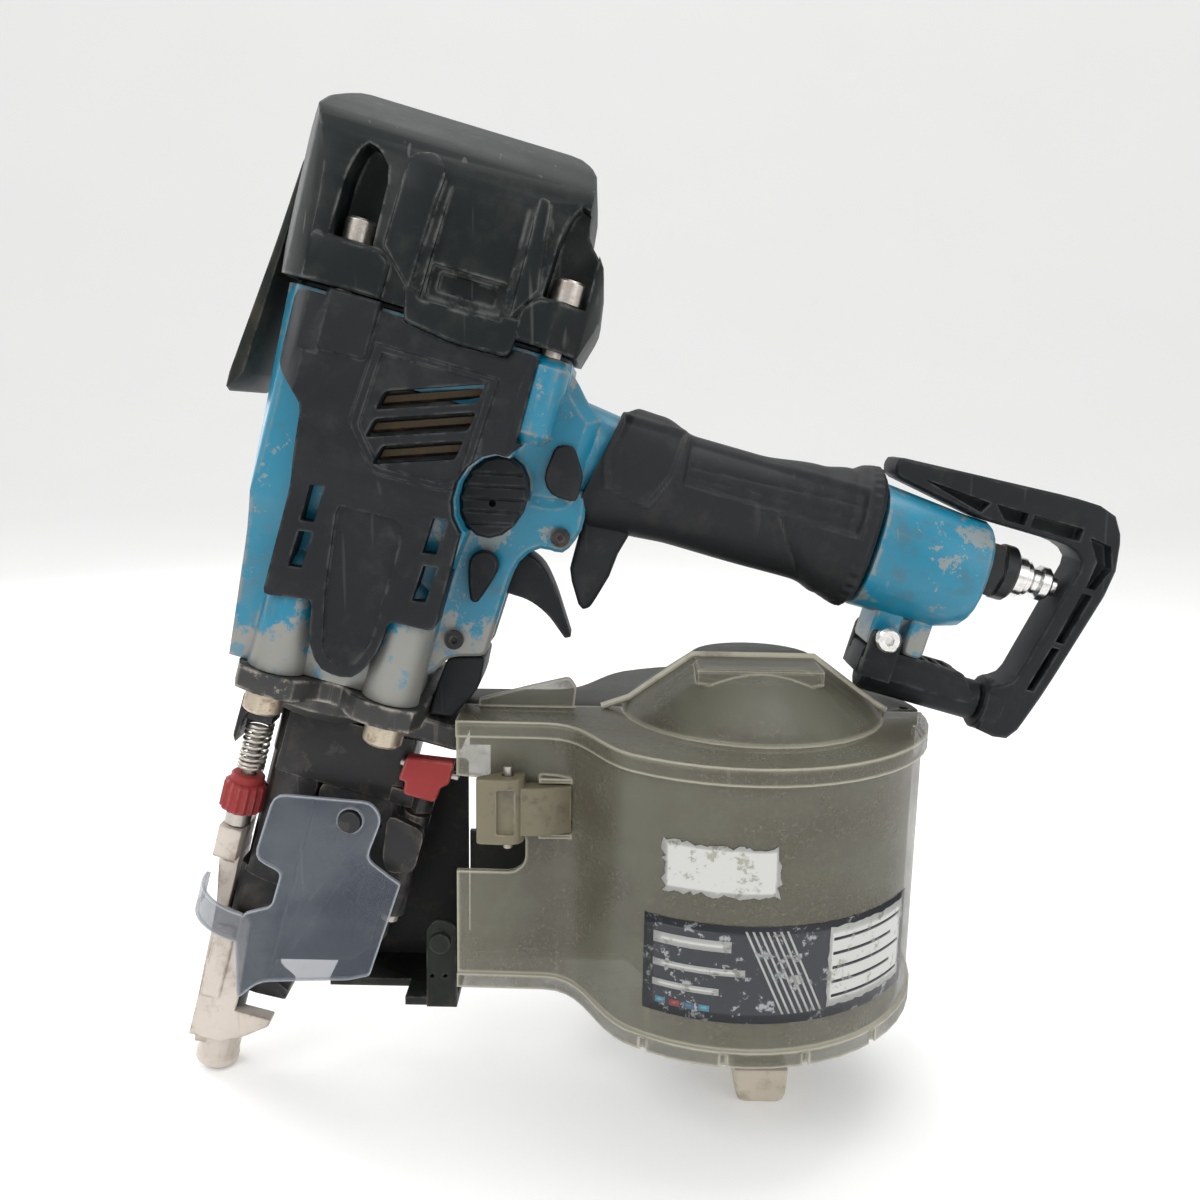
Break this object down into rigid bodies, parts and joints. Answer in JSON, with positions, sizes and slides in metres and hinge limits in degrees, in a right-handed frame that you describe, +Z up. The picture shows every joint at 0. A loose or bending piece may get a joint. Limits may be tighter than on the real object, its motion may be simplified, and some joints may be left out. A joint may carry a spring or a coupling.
{
  "type": "coil nailer",
  "caption": "Air-powered coil framing nailer with round canister magazine, swinging nose door, trigger, depth wheel, rubber grip and hanging hook.",
  "frame": {"origin": "centre of the bounding box's footprint, at the level the nose tip and the magazine foot stand on", "axes": "+Z up, +X from the nose towards the magazine and the handle's end, -Y towards the side with the magazine cover's opening edge"},
  "size_m": [0.3144, 0.1276, 0.3301],
  "materials": {
    "blue_paint": "satin",
    "cast_grey": "matte",
    "sleeve_aluminium": "satin",
    "black_plastic": "matte",
    "cap_plastic": "matte",
    "dark_plastic": "matte",
    "rubber": "matte",
    "steel": "satin",
    "dark_steel": "satin",
    "rusty_steel": "satin",
    "chrome": "polished",
    "white_steel": "satin",
    "red_plastic": "matte",
    "clear_plastic": "gloss",
    "smoked_plastic": "satin",
    "grey_plastic": "matte",
    "cream_plastic": "matte"
  },
  "bodies": {
    "frame": {"main_housing": "blue_paint", "side_cover_near": "black_plastic", "side_cover_far": "black_plastic", "top_cap": "cap_plastic", "cap_gasket": "rubber", "exhaust_deflector": "dark_plastic", "cylinder_sleeve": "sleeve_aluminium", "piston_bumper": "rubber", "nose_flange": "cast_grey", "nose_guide": "dark_steel", "spring_bracket": "dark_steel", "contact_spring": "steel", "door_hinge_pin": "steel", "door_latch_pin": "steel", "feed_cylinder": "cast_grey", "trigger_pin": "steel", "neck_pad_near": "rubber", "neck_pad_far": "rubber", "bracket_screw_lower": "dark_steel", "bracket_screw_upper": "dark_steel", "link_cover": "black_plastic", "rubber_grip": "rubber", "handle_end_cap": "blue_paint", "plug_bushing": "dark_steel", "air_plug": "chrome", "hook_tube": "black_plastic", "hook_screw": "chrome", "feed_channel": "dark_plastic", "magazine_body": "grey_plastic", "magazine_hinge_pin": "steel", "magazine_foot": "cream_plastic", "cap_bolt_1": "steel", "flange_bolt_1": "rusty_steel", "cap_bolt_2": "steel", "flange_bolt_2": "rusty_steel", "cap_bolt_3": "steel", "flange_bolt_3": "rusty_steel", "cap_bolt_4": "steel", "flange_bolt_4": "rusty_steel"},
    "driver": {"piston": "sleeve_aluminium", "driver_blade": "steel"},
    "head_valve": {"head_valve": "black_plastic"},
    "trigger": {"trigger": "black_plastic"},
    "trigger_valve": {"trigger_valve": "steel"},
    "mode_lever": {"mode_lever": "black_plastic"},
    "duster_button": {"duster_button": "black_plastic"},
    "contact": {"contact_arm": "white_steel", "contact_rod": "steel"},
    "dial": {"depth_dial": "red_plastic"},
    "pawl": {"feed_pawl": "steel"},
    "door": {"feed_door": "dark_steel", "clear_guard": "clear_plastic", "guard_bolt": "dark_steel"},
    "door_latch": {"door_latch": "red_plastic"},
    "cover": {"magazine_cover": "smoked_plastic", "cover_latch_pin": "steel"},
    "cover_latch": {"cover_latch": "cream_plastic"},
    "nail_support": {"nail_support": "grey_plastic"},
    "hook": {"hook_loop": "black_plastic"}
  },
  "joints": [
    {"name": "driver_stroke", "type": "slide", "parent": "frame", "child": "driver", "axis": [-0.2588, 0, -0.9659], "range_m": [0, 0.119]},
    {"name": "head_valve_lift", "type": "slide", "parent": "frame", "child": "head_valve", "axis": [0.2588, 0, 0.9659], "range_m": [0, 0.0035], "stiffness_N_per_m": 400, "springref_m": -0.005},
    {"name": "trigger_pull", "type": "hinge", "parent": "frame", "child": "trigger", "pos_m": [-0.05024, 0, 0.18771], "axis": [0, -1, 0], "range_deg": [0, 8], "stiffness_Nm_per_rad": 0.5, "springref_deg": -8.59},
    {"name": "trigger_valve_lift", "type": "slide", "parent": "frame", "child": "trigger_valve", "axis": [0.2588, 0, 0.9659], "range_m": [0, 0.0022]},
    {"name": "mode_lever_turn", "type": "hinge", "parent": "frame", "child": "mode_lever", "pos_m": [-0.05024, 0, 0.18771], "axis": [0, 1, 0], "range_deg": [0, 35]},
    {"name": "duster_button_press", "type": "slide", "parent": "frame", "child": "duster_button", "axis": [0, 1, 0], "range_m": [0, 0.002], "stiffness_N_per_m": 500, "springref_m": -0.002},
    {"name": "contact_slide", "type": "slide", "parent": "frame", "child": "contact", "axis": [0.2588, 0, 0.9659], "range_m": [0, 0.012], "stiffness_N_per_m": 1500, "springref_m": -0.014, "deforming": ["contact_spring"]},
    {"name": "depth_dial_turn", "type": "hinge", "parent": "contact", "child": "dial", "pos_m": [-0.13366, -0.0075, 0.1055], "axis": [0.2588, 0, 0.9659], "continuous": true},
    {"name": "feed_pawl_slide", "type": "slide", "parent": "frame", "child": "pawl", "axis": [0.9659, 0, -0.2588], "range_m": [0, 0.009], "stiffness_N_per_m": 200, "springref_m": -0.006},
    {"name": "feed_door_swing", "type": "hinge", "parent": "frame", "child": "door", "pos_m": [-0.08001, -0.013, 0.07663], "axis": [0.2588, 0, 0.9659], "range_deg": [0, 100]},
    {"name": "door_latch_turn", "type": "hinge", "parent": "frame", "child": "door_latch", "pos_m": [-0.07213, -0.0154, 0.11955], "axis": [-0.9659, 0, 0.2588], "range_deg": [0, 60], "stiffness_Nm_per_rad": 0.05, "springref_deg": -22.92},
    {"name": "magazine_cover_swing", "type": "hinge", "parent": "frame", "child": "cover", "pos_m": [0.09355, 0.0046, 0.09], "axis": [0, 0, 1], "range_deg": [0, 52]},
    {"name": "cover_latch_turn", "type": "hinge", "parent": "cover", "child": "cover_latch", "pos_m": [-0.04175, -0.0236, 0.108], "axis": [0, 0, -1], "range_deg": [0, 30], "stiffness_Nm_per_rad": 0.05, "springref_deg": -22.92},
    {"name": "nail_support_slide", "type": "slide", "parent": "frame", "child": "nail_support", "axis": [0, 0, 1], "range_m": [0, 0.04]},
    {"name": "hook_swing", "type": "hinge", "parent": "frame", "child": "hook", "pos_m": [0.09568, 0, 0.14696], "axis": [-0.9659, 0, 0.2588], "range_deg": [-90, 90]}
  ],
  "couplings": [
    {"joint": "trigger_valve_lift", "follows": "trigger_pull", "m_per_rad": 0.0145}
  ]
}
